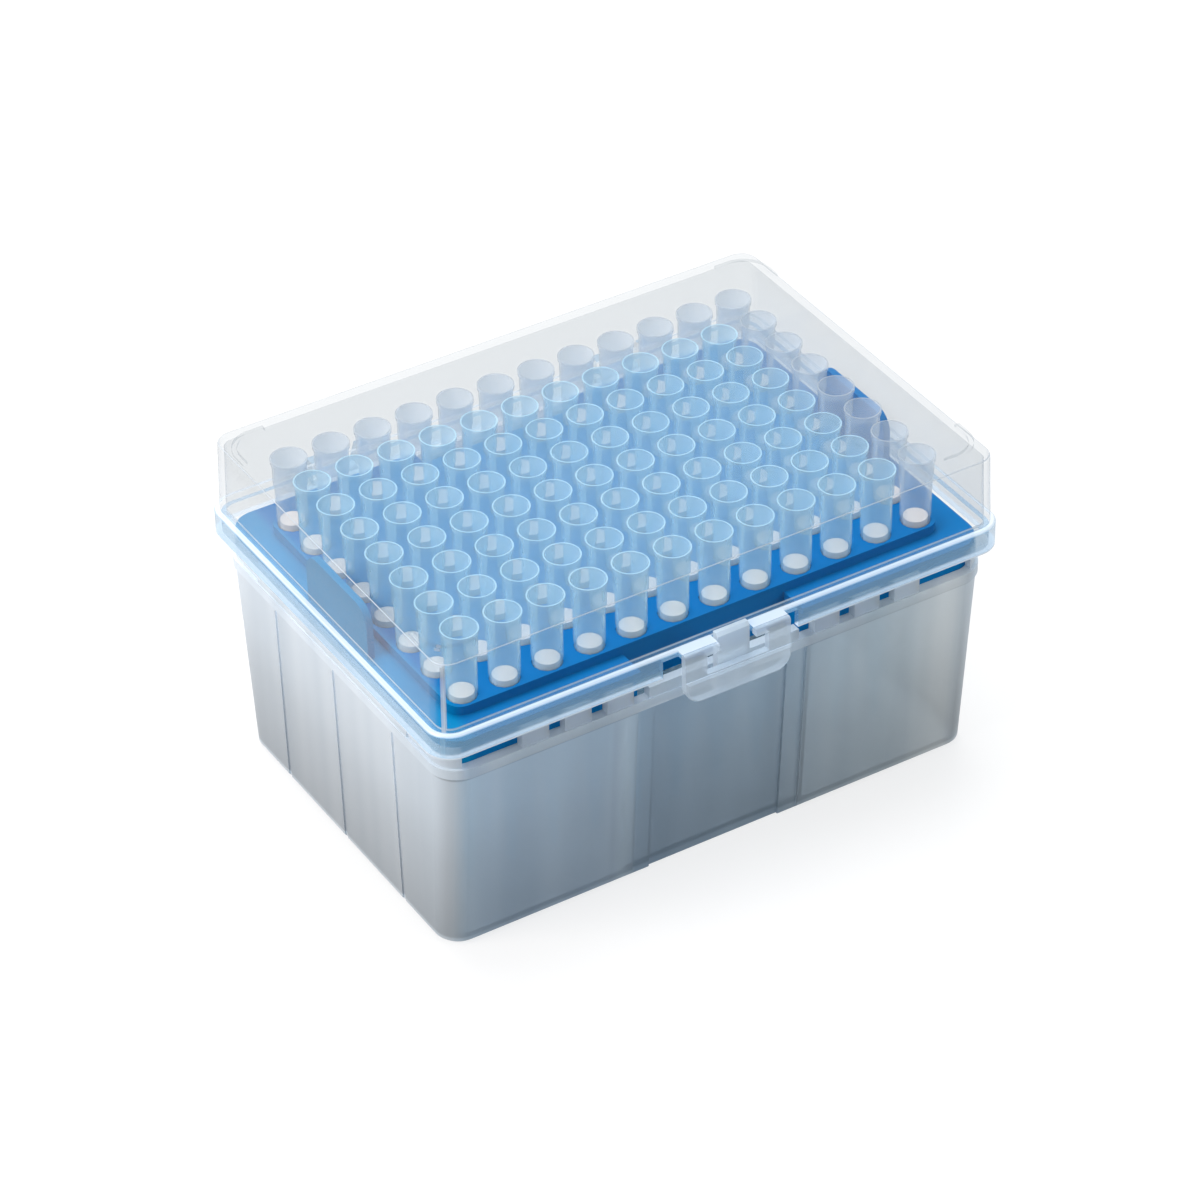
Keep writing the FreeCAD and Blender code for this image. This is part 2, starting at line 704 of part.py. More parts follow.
def build_rack():
    body = new_body("rack")
    flange = new_sketch(body, "flange", offset="base_height")
    rounded_rectangle(
        flange,
        "base_rim_length - 2 * rack_flange_inset",
        "base_rim_width - 2 * rack_flange_inset",
        "base_rim_radius - rack_flange_inset",
    )
    pad(body, "flange_pad", flange, "rack_plate")
    skirt = new_sketch(body, "skirt", offset="rack_bottom")
    rounded_rectangle(skirt, "rack_skirt_length", "rack_skirt_width", "rack_skirt_radius")
    rounded_rectangle(
        skirt,
        "rack_skirt_length - 2 * rack_wall",
        "rack_skirt_width - 2 * rack_wall",
        "rack_skirt_radius - rack_wall",
    )
    pad(body, "skirt_pad", skirt, "rack_skirt_depth")
    for side, sign in (("front", "-"), ("back", "")):
        build_rack_notch(body, side, sign)
    deck = new_sketch(body, "deck", offset="base_height")
    rounded_rectangle(deck, "deck_length", "deck_width", "rack_deck_radius")
    pad(body, "deck_pad", deck, "deck_top - base_height")
    hollow = new_sketch(body, "hollow", offset="deck_bottom")
    inside = "deck_length - 2 * rack_wall", "deck_width - 2 * rack_wall"
    rounded_rectangle(hollow, *inside, "rack_deck_radius - rack_wall")
    pocket(body, "hollow_cut", hollow, "deck_bottom - base_height")
    build_rack_ribs(body)
    for side, sign in (("right", ""), ("left", "-")):
        build_rack_tab(body, side, sign)
    hole = new_sketch(body, "hole", offset="deck_top")
    regular_polygon(hole, "-grid_length / 2", "-grid_width / 2", "rack_hole_diameter / 2")
    first_hole = pocket(body, "hole_cut", hole, "deck_top - rack_bottom")
    holes = row(body, "holes", [first_hole], "X_Axis", "grid_length", "tip_columns")
    holes.Direction2 = (origin_feature(body, "Y_Axis"), [""])
    holes.setExpression("Length2", from_sheet("grid_width"))
    holes.setExpression("Occurrences2", from_sheet("tip_rows"))
    document.recompute()
    return body


def build_lid_shell(body):
    """The skirt with its bevelled shoulder, the drafted cover on it, and the hollow inside both."""
    skirt = new_sketch(body, "skirt", offset="skirt_bottom")
    rounded_rectangle(skirt, "skirt_length", "skirt_width", "skirt_radius")
    block = pad(body, "skirt_pad", skirt, "skirt_height")
    dress(body, "Chamfer", "shoulder", block, between("ledge_top", "ledge_top"), "skirt_bevel")
    taper = from_sheet("-atan(lid_draft / (lid_top - ledge_top))")
    foot = new_sketch(body, "cover_foot", offset="ledge_top")
    rounded_rectangle(foot, "lid_length", "lid_width", "lid_corner_radius")
    cover = pad(body, "cover", foot, "lid_top - ledge_top")
    cover.setExpression("TaperAngle", taper)
    document.recompute()
    dress(body, "Fillet", "top_edge", cover, between("lid_top", "lid_top"), "lid_edge_round")

    skirt_inside = new_sketch(body, "skirt_inside", offset="ledge_bottom")
    inside = "skirt_length - 2 * lid_wall", "skirt_width - 2 * lid_wall"
    rounded_rectangle(skirt_inside, *inside, "skirt_radius - lid_wall")
    pocket(body, "skirt_hollow", skirt_inside, "ledge_bottom - skirt_bottom")
    mouth = new_sketch(body, "hollow_mouth", offset="ledge_bottom")
    inside = "lid_length - 2 * lid_wall", "lid_width - 2 * lid_wall"
    rounded_rectangle(mouth, *inside, "lid_corner_radius - lid_wall")
    hollow = pocket(body, "hollow", mouth, "lid_ceiling - ledge_bottom", reverse=True)
    hollow.setExpression("TaperAngle", taper)
    check_cut(hollow)


def build_stacking_ridges(body):
    """An angle on each corner of the top, outside the foot of a box that is stacked on it."""
    ring = new_sketch(body, "ridges", offset="lid_top")
    rounded_rectangle(ring, "ridge_length", "ridge_span", "base_corner_radius + ridge_width")
    inside = "ridge_length - 2 * ridge_width", "ridge_span - 2 * ridge_width"
    rounded_rectangle(ring, *inside, "base_corner_radius")
    pad(body, "ridges_pad", ring, "ridge_height")
    for name, length, width in (
        ("sides", "ridge_length - 2 * ridge_leg", "ridge_span + ridge_width"),
        ("ends", "ridge_length + ridge_width", "ridge_span - 2 * ridge_leg"),
    ):
        gap = new_sketch(body, f"ridge_gap_{name}", offset="lid_top + ridge_height")
        centred_rectangle(gap, length, f"-({width}) / 2", f"({width}) / 2")
        pocket(body, f"ridge_gap_{name}_cut", gap, "ridge_height")


def build_latch_ledge(body):
    """The ledge with its hollow seat for the latch's bead, the opening under it and the lug's slot."""
    ledge = new_sketch(body, "latch_ledge", offset="ledge_bottom")
    centred_rectangle(ledge, "latch_width", "-bead_distance", "-(lid_width / 2 - lid_wall / 2)")
    pad(body, "latch_ledge_pad", ledge, "lid_wall")
    seat = new_sketch(body, "bead_seat", plane="YZ_Plane")
    circle(seat, "-bead_distance", "bead_level", "bead_radius + latch_bead_clearance")
    pocket(body, "bead_seat_cut", seat, "latch_width", "Symmetric")
    relief = new_sketch(body, "latch_relief", plane="YZ_Plane")
    rectangle(
        relief, "-latch_outside", "-(latch_inside - latch_bead_clearance)", "skirt_bottom", "bead_level"
    )
    pocket(body, "latch_relief_cut", relief, "latch_width", "Symmetric")
    opening = new_sketch(body, "latch_opening", offset="ledge_bottom")
    outside, inside = "-(skirt_width / 2 + skirt_step)", "-(skirt_width / 2 - 2 * lid_wall)"
    centred_rectangle(opening, "skirt_opening", outside, inside)
    pocket(body, "latch_opening_cut", opening, "ledge_bottom - skirt_bottom")
    slot = new_sketch(body, "lug_slot", offset="ledge_top")
    centred_rectangle(slot, "slot_width", "-latch_outside", "-lid_width / 2")
    pocket(body, "lug_slot_cut", slot, "lid_wall")


def build_lid_hinges(body):
    """A yoke at each hinge: two ears down from the skirt with the pin between them."""
    for side, sign in (("right", ""), ("left", "-")):
        for ear, place in (
            ("inner", "hinge_barrel_length / 2 + hinge_side_gap + hinge_ear_plate / 2"),
            ("outer", "-(hinge_barrel_length / 2 + hinge_side_gap + hinge_ear_plate / 2)"),
        ):
            middle = f"{sign}hinge_spacing / 2 + {place}"
            web = new_sketch(body, f"{side}_{ear}_web", plane="YZ_Plane", offset=middle)
            polygon(
                web,
                [
                    ("skirt_width / 2 - lid_wall / 2", "skirt_bottom"),
                    ("hinge_distance - barrel_radius", "skirt_bottom - lid_seat_gap"),
                    ("hinge_distance - barrel_radius", "hinge_level"),
                    ("hinge_distance + barrel_radius", "hinge_level"),
                    ("skirt_width / 2 + barrel_radius", "ledge_top - skirt_bevel"),
                    ("skirt_width / 2 - lid_wall / 2", "ledge_top - skirt_bevel"),
                ],
            )
            pad(body, f"{side}_{ear}_web_pad", web, "hinge_ear_plate", "Symmetric")
            eye = new_sketch(body, f"{side}_{ear}_eye", plane="YZ_Plane", offset=middle)
            circle(eye, "hinge_distance", "hinge_level", "barrel_radius")
            pad(body, f"{side}_{ear}_eye_pad", eye, "hinge_ear_plate", "Symmetric")
        pin = hinge_station(body, f"{side}_pin", sign)
        circle(pin, "hinge_distance", "hinge_level", "hinge_pin_diameter / 2")
        pad(body, f"{side}_pin_pad", pin, "yoke_length", "Symmetric")


def build_lid():
    body = new_body("lid")
    build_lid_shell(body)
    build_stacking_ridges(body)
    build_latch_ledge(body)
    build_lid_hinges(body)
    return body


def build_latch():
    """The tongue: a plate under a round hinge bead, a thicker finger lip, and the window and slot."""
    body = new_body("latch")
    latch_bottom = "(ledge_top - latch_height)"
    plate = new_sketch(body, "plate", plane="XZ_Plane", offset="latch_inside")
    centred_rectangle(plate, "latch_width", latch_bottom, "bead_level")
    pad(body, "plate_pad", plate, "latch_plate")
    lip = new_sketch(body, "lip", plane="XZ_Plane", offset="latch_inside + latch_plate / 2")
    centred_rectangle(lip, "latch_width", latch_bottom, "window_bottom - lug_clearance")
    lip_pad = pad(body, "lip_pad", lip, "latch_plate / 2 + latch_lip")
    bottom, depth = value(latch_bottom), value("latch_plate + latch_lip")

    def lower_corner(box):
        return near(box.ZMax, bottom) and near(box.XLength, 0) and near(box.YLength, depth)

    rounded = dress(body, "Fillet", "corners", lip_pad, lower_corner, "latch_corner_radius")
    front = -value("latch_outside + latch_lip")

    def lip_front(box):
        return near(box.YLength, 0) and near(box.YMin, front)

    dress(body, "Chamfer", "lip_edge", rounded, lip_front, "latch_lip_bevel")
    bead = new_sketch(body, "bead", plane="YZ_Plane")
    circle(bead, "-bead_distance", "bead_level", "bead_radius")
    pad(body, "bead_pad", bead, "latch_width", "Symmetric")
    middle = "latch_inside + latch_plate / 2"
    window = new_sketch(body, "window", plane="XZ_Plane", offset=middle)
    centred_rectangle(window, "window_width", "window_bottom", "window_top")
    pocket(body, "window_cut", window, "2 * latch_plate", "Symmetric")
    slot = new_sketch(body, "slot", plane="XZ_Plane", offset=middle)
    centred_rectangle(slot, "slot_width", "window_top - window_height / 2", "ledge_top + latch_plate")
    pocket(body, "slot_cut", slot, "2 * latch_plate", "Symmetric")
    return body


def tapered(body, name, low, high, low_radius, high_radius, hollow=False):
    """A many-sided prism or hollow between two heights, drafted from one radius to the other."""
    sketch = new_sketch(body, name, offset=low)
    regular_polygon(sketch, "0", "0", low_radius)
    feature = feature_of(body, "Pocket" if hollow else "Pad", f"{name}_prism", sketch)
    feature.Reversed = hollow
    feature.setExpression("Length", from_sheet(f"{high} - {low}"))
    document.recompute()
    draft = body.newObject("PartDesign::Draft", f"{body.Label}_{name}_draft")
    draft.Base = (feature, faces_where(feature, between(low, high)))
    draft.NeutralPlane = (level_plane(body, f"{name}_plane", low), [""])
    draft.Reversed = not hollow
    spread = f"({high_radius} - {low_radius}) * cos(180 / tip_sides)"
    draft.setExpression("Angle", from_sheet(f"atan({spread} / ({high} - {low}))"))
    document.recompute()


def new_column(label, number):
    """The body for one column of the grid, placed so that its first piece is in the front row."""
    body = new_body(label)
    body.setExpression("Placement.Base.x", from_sheet(f"{number} * tip_pitch - grid_length / 2"))
    body.setExpression("Placement.Base.y", from_sheet("-grid_width / 2"))
    body.setExpression("Placement.Base.z", from_sheet("tip_point_level"))
    return body


def fill_column(body):
    """Repeats the body's one piece for each row of the grid."""
    column = row(body, "column", [], "Y_Axis", "grid_width", "tip_rows")
    column.TransformMode = "Whole shape"
    document.recompute()


def bore_radius_at(height):
    return f"(tip_orifice_diameter / 2 + bore_slope * {height})"


def build_tips(number):
    """Hollow tips: nose, body and flared collar outside, and one long taper inside."""
    body = new_column(f"tips_column_{number + 1:02d}", number)
    stages = [
        ("0", "tip_point_diameter / 2"),
        ("tip_nose_height", "tip_nose_diameter / 2"),
        ("tip_seat_height", "tip_seat_diameter / 2"),
        ("tip_length", "tip_rim_diameter / 2"),
    ]
    for stage, ((low, low_radius), (high, high_radius)) in enumerate(zip(stages, stages[1:])):
        tapered(body, f"stage_{stage}", low, high, low_radius, high_radius)
    tapered(body, "bore", "0", "tip_length", bore_radius_at("0"), bore_radius_at("tip_length"), True)
    fill_column(body)
    return body


def build_filters(number):
    """Plugs that fill the tips' tapered bores between two heights."""
    body = new_column(f"filters_column_{number + 1:02d}", number)
    low, high = "filter_bottom", "filter_top"
    low_radius, high_radius = (f"({bore_radius_at(end)} - filter_clearance)" for end in (low, high))
    tapered(body, "plug", low, high, low_radius, high_radius)
    fill_column(body)
    return body


def export(bodies):
    """Writes each sub-part's shape once every object and shape has passed its check."""
    document.recompute()
    for item in document.Objects:
        if "Invalid" in item.State or "Error" in item.State:
            raise ValueError(f"{item.Label} failed: {item.State}")
    for body in bodies:
        if body.Shape.isNull() or not body.Shape.isValid():
            raise ValueError(f"{body.Label} has no valid shape")
    os.makedirs("parts", exist_ok=True)
    for body in bodies:
        body.Shape.exportStep(f"parts/{body.Label}.step")


fill_sheet()
sub_parts = [build_base(), build_rack(), build_lid(), build_latch()]
columns = range(int(value("tip_columns")))
sub_parts += [build_tips(number) for number in columns]
sub_parts += [build_filters(number) for number in columns]
export(sub_parts)
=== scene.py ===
import math

import bmesh
import bpy
from mathutils import Matrix, Vector


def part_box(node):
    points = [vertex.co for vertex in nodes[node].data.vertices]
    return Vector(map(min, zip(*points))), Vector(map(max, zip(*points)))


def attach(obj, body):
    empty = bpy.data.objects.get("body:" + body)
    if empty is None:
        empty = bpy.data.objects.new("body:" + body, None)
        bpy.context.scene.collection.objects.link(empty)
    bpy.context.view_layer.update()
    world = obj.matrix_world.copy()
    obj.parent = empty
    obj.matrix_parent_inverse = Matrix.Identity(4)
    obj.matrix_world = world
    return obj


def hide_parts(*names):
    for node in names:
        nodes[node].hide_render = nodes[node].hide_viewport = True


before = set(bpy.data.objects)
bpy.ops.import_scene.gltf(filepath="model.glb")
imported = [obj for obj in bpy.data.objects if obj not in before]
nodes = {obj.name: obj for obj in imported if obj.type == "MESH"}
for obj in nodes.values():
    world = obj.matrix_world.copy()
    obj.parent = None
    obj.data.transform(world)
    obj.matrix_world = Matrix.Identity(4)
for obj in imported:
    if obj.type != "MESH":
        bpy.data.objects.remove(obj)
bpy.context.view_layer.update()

# ---------------------------------------------------------------------------
# Frosted base: one moulding, taken as natural polypropylene, matt and milky. Its soft
# upright tones are painted light and shade for what shows through its walls and how they
# are lit, set by place on the wall, not traced through it; up the wall they are set by height.

polypropylene_ior = 1.49
base_milk = (0.560, 0.620, 0.675, 1.0)
base_milk_pale = (0.665, 0.715, 0.760, 1.0)


def start_material(name):
    """An empty node material with its output, ready for shaders."""
    material = bpy.data.materials.new(name)
    material.use_nodes = True
    tree = material.node_tree
    tree.nodes.clear()
    output = tree.nodes.new("ShaderNodeOutputMaterial")
    return material, tree, output


def moulding_noise(tree, scale, detail, stretch=(1.0, 1.0, 1.0)):
    """A noise texture in the object's own metres."""
    place = tree.nodes.new("ShaderNodeTexCoord")
    mapping = tree.nodes.new("ShaderNodeMapping")
    mapping.inputs["Scale"].default_value = stretch
    noise = tree.nodes.new("ShaderNodeTexNoise")
    noise.inputs["Scale"].default_value = scale
    noise.inputs["Detail"].default_value = detail
    tree.links.new(place.outputs["Object"], mapping.inputs["Vector"])
    tree.links.new(mapping.outputs["Vector"], noise.inputs["Vector"])
    return noise


def two_tones(tree, noise, low, high):
    """A colour that drifts between two tones with the noise."""
    ramp = tree.nodes.new("ShaderNodeValToRGB")
    ramp.color_ramp.elements[0].position = 0.35
    ramp.color_ramp.elements[0].color = low
    ramp.color_ramp.elements[1].position = 0.65
    ramp.color_ramp.elements[1].color = high
    tree.links.new(noise.outputs["Fac"], ramp.inputs["Fac"])
    return ramp.outputs["Color"]


def grain(tree, noise, strength, distance, shader):
    """Fine relief from a noise on one shader."""
    bump = tree.nodes.new("ShaderNodeBump")
    bump.inputs["Strength"].default_value = strength
    bump.inputs["Distance"].default_value = distance
    tree.links.new(noise.outputs["Fac"], bump.inputs["Height"])
    tree.links.new(bump.outputs["Normal"], shader.inputs["Normal"])


def join(tree, share, first, second):
    """A Mix Shader of two shaders; share is a number or an output socket."""
    mix = tree.nodes.new("ShaderNodeMixShader")
    if isinstance(share, float):
        mix.inputs["Fac"].default_value = share
    else:
        tree.links.new(share, mix.inputs["Fac"])
    tree.links.new(first.outputs[0], mix.inputs[1])
    tree.links.new(second.outputs[0], mix.inputs[2])
    return mix


def moulded_skin(tree, roughness, colour):
    """The surface of a piece in polypropylene, with its colour from an output socket."""
    skin = tree.nodes.new("ShaderNodeBsdfPrincipled")
    skin.inputs["Roughness"].default_value = roughness
    skin.inputs["IOR"].default_value = polypropylene_ior
    tree.links.new(colour, skin.inputs["Base Color"])
    return skin


def lets_light_in(tree, shader, daylight):
    """The same shader, but a tint of the lamps' light passes it to what lies behind."""
    tint = tree.nodes.new("ShaderNodeBsdfTransparent")
    tint.inputs["Color"].default_value = daylight
    ray = tree.nodes.new("ShaderNodeLightPath")
    return join(tree, ray.outputs["Is Shadow Ray"], shader, tint)


def split_up(tree, what):
    """X, Y and Z of the object's own place ("Object") or facing ("Normal")."""
    source = tree.nodes.new("ShaderNodeTexCoord")
    split = tree.nodes.new("ShaderNodeSeparateXYZ")
    tree.links.new(source.outputs[what], split.inputs["Vector"])
    return split


def spread(tree, value, lowest, highest, from_share=0.0, to_share=1.0):
    """A value between two bounds as a share, held at its ends outside them."""
    span = tree.nodes.new("ShaderNodeMapRange")
    span.inputs["From Min"].default_value = lowest
    span.inputs["From Max"].default_value = highest
    span.inputs["To Min"].default_value = from_share
    span.inputs["To Max"].default_value = to_share
    tree.links.new(value, span.inputs["Value"])
    return span.outputs["Result"]


def worked_out(tree, operation, *values):
    """A Math node on one or two output sockets."""
    maths = tree.nodes.new("ShaderNodeMath")
    maths.operation = operation
    for number, value in enumerate(values):
        tree.links.new(value, maths.inputs[number])
    return maths.outputs[0]


def by_place(tree, axis, stops):
    """A share or tint read off X, Y or Z: each stop is a place in metres and its value."""
    lowest = stops[0][0]
    highest = stops[-1][0]
    ramp = tree.nodes.new("ShaderNodeValToRGB")
    marks = ramp.color_ramp.elements
    for place, _ in stops[1:-1]:
        marks.new((place - lowest) / (highest - lowest))
    for mark, (_, value) in zip(marks, stops):
        mark.color = value if isinstance(value, tuple) else (value, value, value, 1.0)
    share = spread(tree, split_up(tree, "Object").outputs[axis], lowest, highest)
    tree.links.new(share, ramp.inputs["Fac"])
    return ramp.outputs["Color"]


def combined(tree, operation, first, second):
    """Two colours, channel by channel."""
    result = tree.nodes.new("ShaderNodeVectorMath")
    result.operation = operation
    tree.links.new(first, result.inputs[0])
    tree.links.new(second, result.inputs[1])
    return result.outputs["Vector"]


def painted_light_on_groove_sides(tree):
    """A factor that paints light onto the sides of the grooves in the two end walls, lifting
    their shade.
    """
    brighter_by = 0.40
    across = worked_out(tree, "ABSOLUTE", split_up(tree, "Normal").outputs["Y"])
    side_on = spread(tree, across, 0.95, 0.98, 0.0, brighter_by)
    ends = by_place(tree, "X", [
        (-0.0600, 1.0),
        (-0.0568, 1.0),
        (-0.0566, 0.0),
        (0.0566, 0.0),
        (0.0568, 1.0),
        (0.0600, 1.0),
    ])
    gain = combined(tree, "MULTIPLY", side_on, ends)
    one = tree.nodes.new("ShaderNodeRGB")
    one.outputs[0].default_value = (1.0, 1.0, 1.0, 1.0)
    return combined(tree, "ADD", gain, one.outputs[0])


frosted, tree, output = start_material("frosted_polypropylene")
drift = moulding_noise(tree, 110.0, 1.0, (1.0, 1.0, 0.03))
tone = two_tones(tree, drift, base_milk, base_milk_pale)
# painted light and shade up the wall: a bright foot, dark above it and paler with height, a
# painted shadow line under the shelf
depth = by_place(tree, "Z", [
    (0.0000, 1.10),
    (0.0013, 1.00),
    (0.0018, 0.66),
    (0.0100, 0.76),
    (0.0200, 0.88),
    (0.0300, 1.05),
    (0.0406, 1.18),
    (0.0412, 0.55),
    (0.0415, 1.12),
    (0.0434, 1.12),
    (0.0440, 1.02),
    (0.0550, 1.18),
])
# painted light and shade along the wall: painted shadows of the tips, a painted highlight at the
# left border of the front panel, the darker panel, painted light at the right end, painted shade
# on both end walls
painted_light_and_shade_along_wall = by_place(tree, "X", [
    (-0.0600, 0.88),
    (-0.0575, 0.88),
    (-0.0550, (0.98, 1.04, 1.08, 1.0)),
    (-0.0500, (0.86, 0.93, 1.00, 1.0)),
    (-0.0242, (0.85, 0.92, 0.99, 1.0)),
    (-0.0232, (0.77, 0.83, 0.90, 1.0)),
    (-0.0205, (0.93, 0.99, 1.03, 1.0)),
    (-0.0190, (0.84, 0.91, 0.96, 1.0)),
    (-0.0175, (0.61, 0.71, 0.80, 1.0)),
    (0.0130, (0.64, 0.73, 0.80, 1.0)),
    (0.0200, (0.86, 0.90, 0.92, 1.0)),
    (0.0380, (1.08, 1.08, 1.05, 1.0)),
    (0.0520, (1.38, 1.28, 1.18, 1.0)),
    (0.0575, 0.88),
    (0.0600, 0.88),
])
# above the shelf the painted shade along the wall is lifted
shelf_up = by_place(tree, "Z", [(0.0000, 0.0), (0.0406, 0.0), (0.0412, 1.0), (0.0550, 1.0)])
shade = combined(tree, "MULTIPLY", tone, depth)
shade = combined(tree, "MULTIPLY", shade, combined(tree, "MAXIMUM", painted_light_and_shade_along_wall, shelf_up))
# painted light: paler towards the back
shade = combined(tree, "MULTIPLY", shade, by_place(tree, "Y", [(-0.0450, 0.97), (0.0450, 1.09)]))
# painted light on the sides of the end walls' grooves
shade = combined(tree, "MULTIPLY", shade, painted_light_on_groove_sides(tree))
skin = moulded_skin(tree, 0.42, shade)
fine = moulding_noise(tree, 2600.0, 2.0)
grain(tree, fine, 0.25, 0.00006, skin)
glow = tree.nodes.new("ShaderNodeBsdfTranslucent")
tree.links.new(shade, glow.inputs["Color"])
glow_share = 0.20
milk = join(tree, glow_share, skin, glow)
blur = tree.nodes.new("ShaderNodeBsdfRefraction")
blur.inputs["Color"].default_value = (0.93, 0.96, 0.98, 1.0)
blur.inputs["Roughness"].default_value = 0.22
blur.inputs["IOR"].default_value = 1.25
# all but the two end walls lets a blur of the inside through
sheer = by_place(tree, "X", [
    (-0.0600, 0.0),
    (-0.0568, 0.0),
    (-0.0545, 0.45),
    (0.0545, 0.45),
    (0.0568, 0.0),
    (0.0600, 0.0),
])
frosted_wall = join(tree, sheer, milk, blur)
lit_wall = lets_light_in(tree, frosted_wall, (0.50, 0.55, 0.60, 1.0))
tree.links.new(lit_wall.outputs[0], output.inputs["Surface"])
nodes["base"].material_slots[0].material = frosted

# ---------------------------------------------------------------------------
# Blue rack: one satin moulding, taken as pigmented polypropylene. It rests on
# the base by its flange, and its deck has the 96 holes for the tips.

rack_blue = (0.0005, 0.150, 0.385, 1.0)
rack_blue_deep = (0.0005, 0.132, 0.350, 1.0)

pigmented, tree, output = start_material("blue_polypropylene")
drift = moulding_noise(tree, 60.0, 3.0)
tone = two_tones(tree, drift, rack_blue_deep, rack_blue)
# painted light: the left end is paler
lit_end = by_place(tree, "X", [
    (-0.0600, (1.0, 1.45, 1.15, 1.0)),
    (-0.0535, (1.0, 1.45, 1.15, 1.0)),
    (-0.0515, 1.0),
    (0.0600, 1.0),
])
skin = moulded_skin(tree, 0.40, combined(tree, "MULTIPLY", tone, lit_end))
skin.inputs["Specular IOR Level"].default_value = 0.05
fine = moulding_noise(tree, 1500.0, 2.0)
grain(tree, fine, 0.12, 0.00005, skin)
tree.links.new(skin.outputs["BSDF"], output.inputs["Surface"])
nodes["rack"].material_slots[0].material = pigmented

# ---------------------------------------------------------------------------
# Tips: ninety-six clear, thin-walled cones that stand in the deck's holes.
# Each has a small step above the deck, a thicker neck and a lip at its mouth.
# Those in the last column and the back row have painted light: paler, less milky walls and darker
# rims.

tips_per_column = 8
tip_sides = 32
tips_crease = 35.0
tabs_above_deck = 0.0090
rim_face_depth = 0.00001
tip_rim_radius = 0.0036
tip_bore_radius = 0.0033


def tip_profile(point, deck, rim):
    """Half section of a tip, from the point up the outside, over the rim and down the bore."""
    outside = [
        # the cone, from the orifice up to the hole
        (0.00045, point),
        (0.00105, point + 0.008),
        (0.00165, point + 0.0150),
        (0.00284, deck - 0.0002),
        # the step above the deck, and the barrel
        (0.00286, deck + 0.0010),
        (0.00300, deck + 0.0014),
        (0.00306, rim - 0.0062),
        # the thicker neck, and the lip
        (0.00330, rim - 0.0056),
        (0.00334, rim - 0.0012),
        (tip_rim_radius, rim - 0.0008),
        (tip_rim_radius, rim),
    ]
    inside = [
        (tip_bore_radius, rim),
        (0.00300, rim - 0.0016),
        (0.00272, rim - 0.0138),
        (0.00262, rim - 0.0200),
        (0.00135, point + 0.0150),
        (0.00078, point + 0.008),
        (0.00025, point),
    ]
    return outside + inside


def turned(name, profile, centres, sides):
    """A closed ring-shaped section turned about each centre, all in one mesh."""
    merged_within = 1e-7
    mesh = bpy.data.meshes.new(name)
    shape = bmesh.new()
    for centre in centres:
        corners = [shape.verts.new((centre[0] + r, centre[1], z)) for r, z in profile]
        closed = corners + corners[:1]
        edges = [shape.edges.new(pair) for pair in zip(closed, closed[1:])]
        bmesh.ops.spin(
            shape,
            geom=corners + edges,
            cent=(centre[0], centre[1], 0.0),
            axis=(0.0, 0.0, 1.0),
            angle=2 * math.pi,
            steps=sides,
            use_merge=True,
        )
    bmesh.ops.remove_doubles(shape, verts=shape.verts, dist=merged_within)
    bmesh.ops.recalc_face_normals(shape, faces=shape.faces)
    for face in shape.faces:
        face.smooth = True
    shape.to_mesh(mesh)
    shape.free()
    piece = bpy.data.objects.new(name, mesh)
    bpy.context.collection.objects.link(piece)
    return piece


def crisp(piece, degrees):
    """Edges sharper than the angle stay sharp in shading."""
    for edge in piece.data.edges:
        edge.use_edge_sharp = False
    piece.data.set_sharp_from_angle(angle=math.radians(degrees))


def by_facing(tree, power, face_on, edge_on):
    """A share that climbs from face on to edge on, the same from both sides of a wall."""
    weight = tree.nodes.new("ShaderNodeLayerWeight")
    weight.inputs["Blend"].default_value = 0.5
    bend = tree.nodes.new("ShaderNodeMath")
    bend.operation = "POWER"
    bend.inputs[1].default_value = power
    tree.links.new(weight.outputs["Facing"], bend.inputs[0])
    return spread(tree, bend.outputs[0], 0.0, 1.0, face_on, edge_on)


def clear_plastic(name, clearness, tones, scale, rough, milk, gloss, thick_and_highlights=None, deep=None,
                  around=None):
    """Clear polypropylene: see-through face on, milky and glossy edge on and where thick.

    milk and gloss: power, share face on and share edge on. The function for thick plastic
    gives the share of milk where the plastic is thick, and painted highlights on the lid, tinted
    towards deep. around: a tint by place.
    """
    deep_from = 0.6
    waves_per_drift = 2.5
    material, tree, output = start_material(name)
    tone = two_tones(tree, moulding_noise(tree, scale, 3.0), *tones)
    if around:
        tone = combined(tree, "MULTIPLY", tone, by_place(tree, *around))
    skin = moulded_skin(tree, rough, tone)
    through = tree.nodes.new("ShaderNodeBsdfTransparent")
    through.inputs["Color"].default_value = clearness
    share = by_facing(tree, *milk)
    if thick_and_highlights:
        body = thick_and_highlights(tree)
        share = worked_out(tree, "MAXIMUM", share, body)
        tint = tree.nodes.new("ShaderNodeValToRGB")
        tint.color_ramp.elements[0].color = clearness
        tint.color_ramp.elements[1].color = deep
        tint.color_ramp.elements[1].position = deep_from
        tree.links.new(body, tint.inputs["Fac"])
        tree.links.new(tint.outputs["Color"], through.inputs["Color"])
    milky = join(tree, share, through, skin)
    polish = tree.nodes.new("ShaderNodeBsdfGlossy")
    polish.inputs["Roughness"].default_value = 0.08
    waves = moulding_noise(tree, waves_per_drift * scale, 2.0)
    grain(tree, waves, 0.10, 0.0002, polish)
    wall = join(tree, by_facing(tree, *gloss), milky, polish)
    lit_wall = lets_light_in(tree, wall, (0.93, 0.95, 0.97, 1.0))
    tree.links.new(lit_wall.outputs[0], output.inputs["Surface"])
    return material


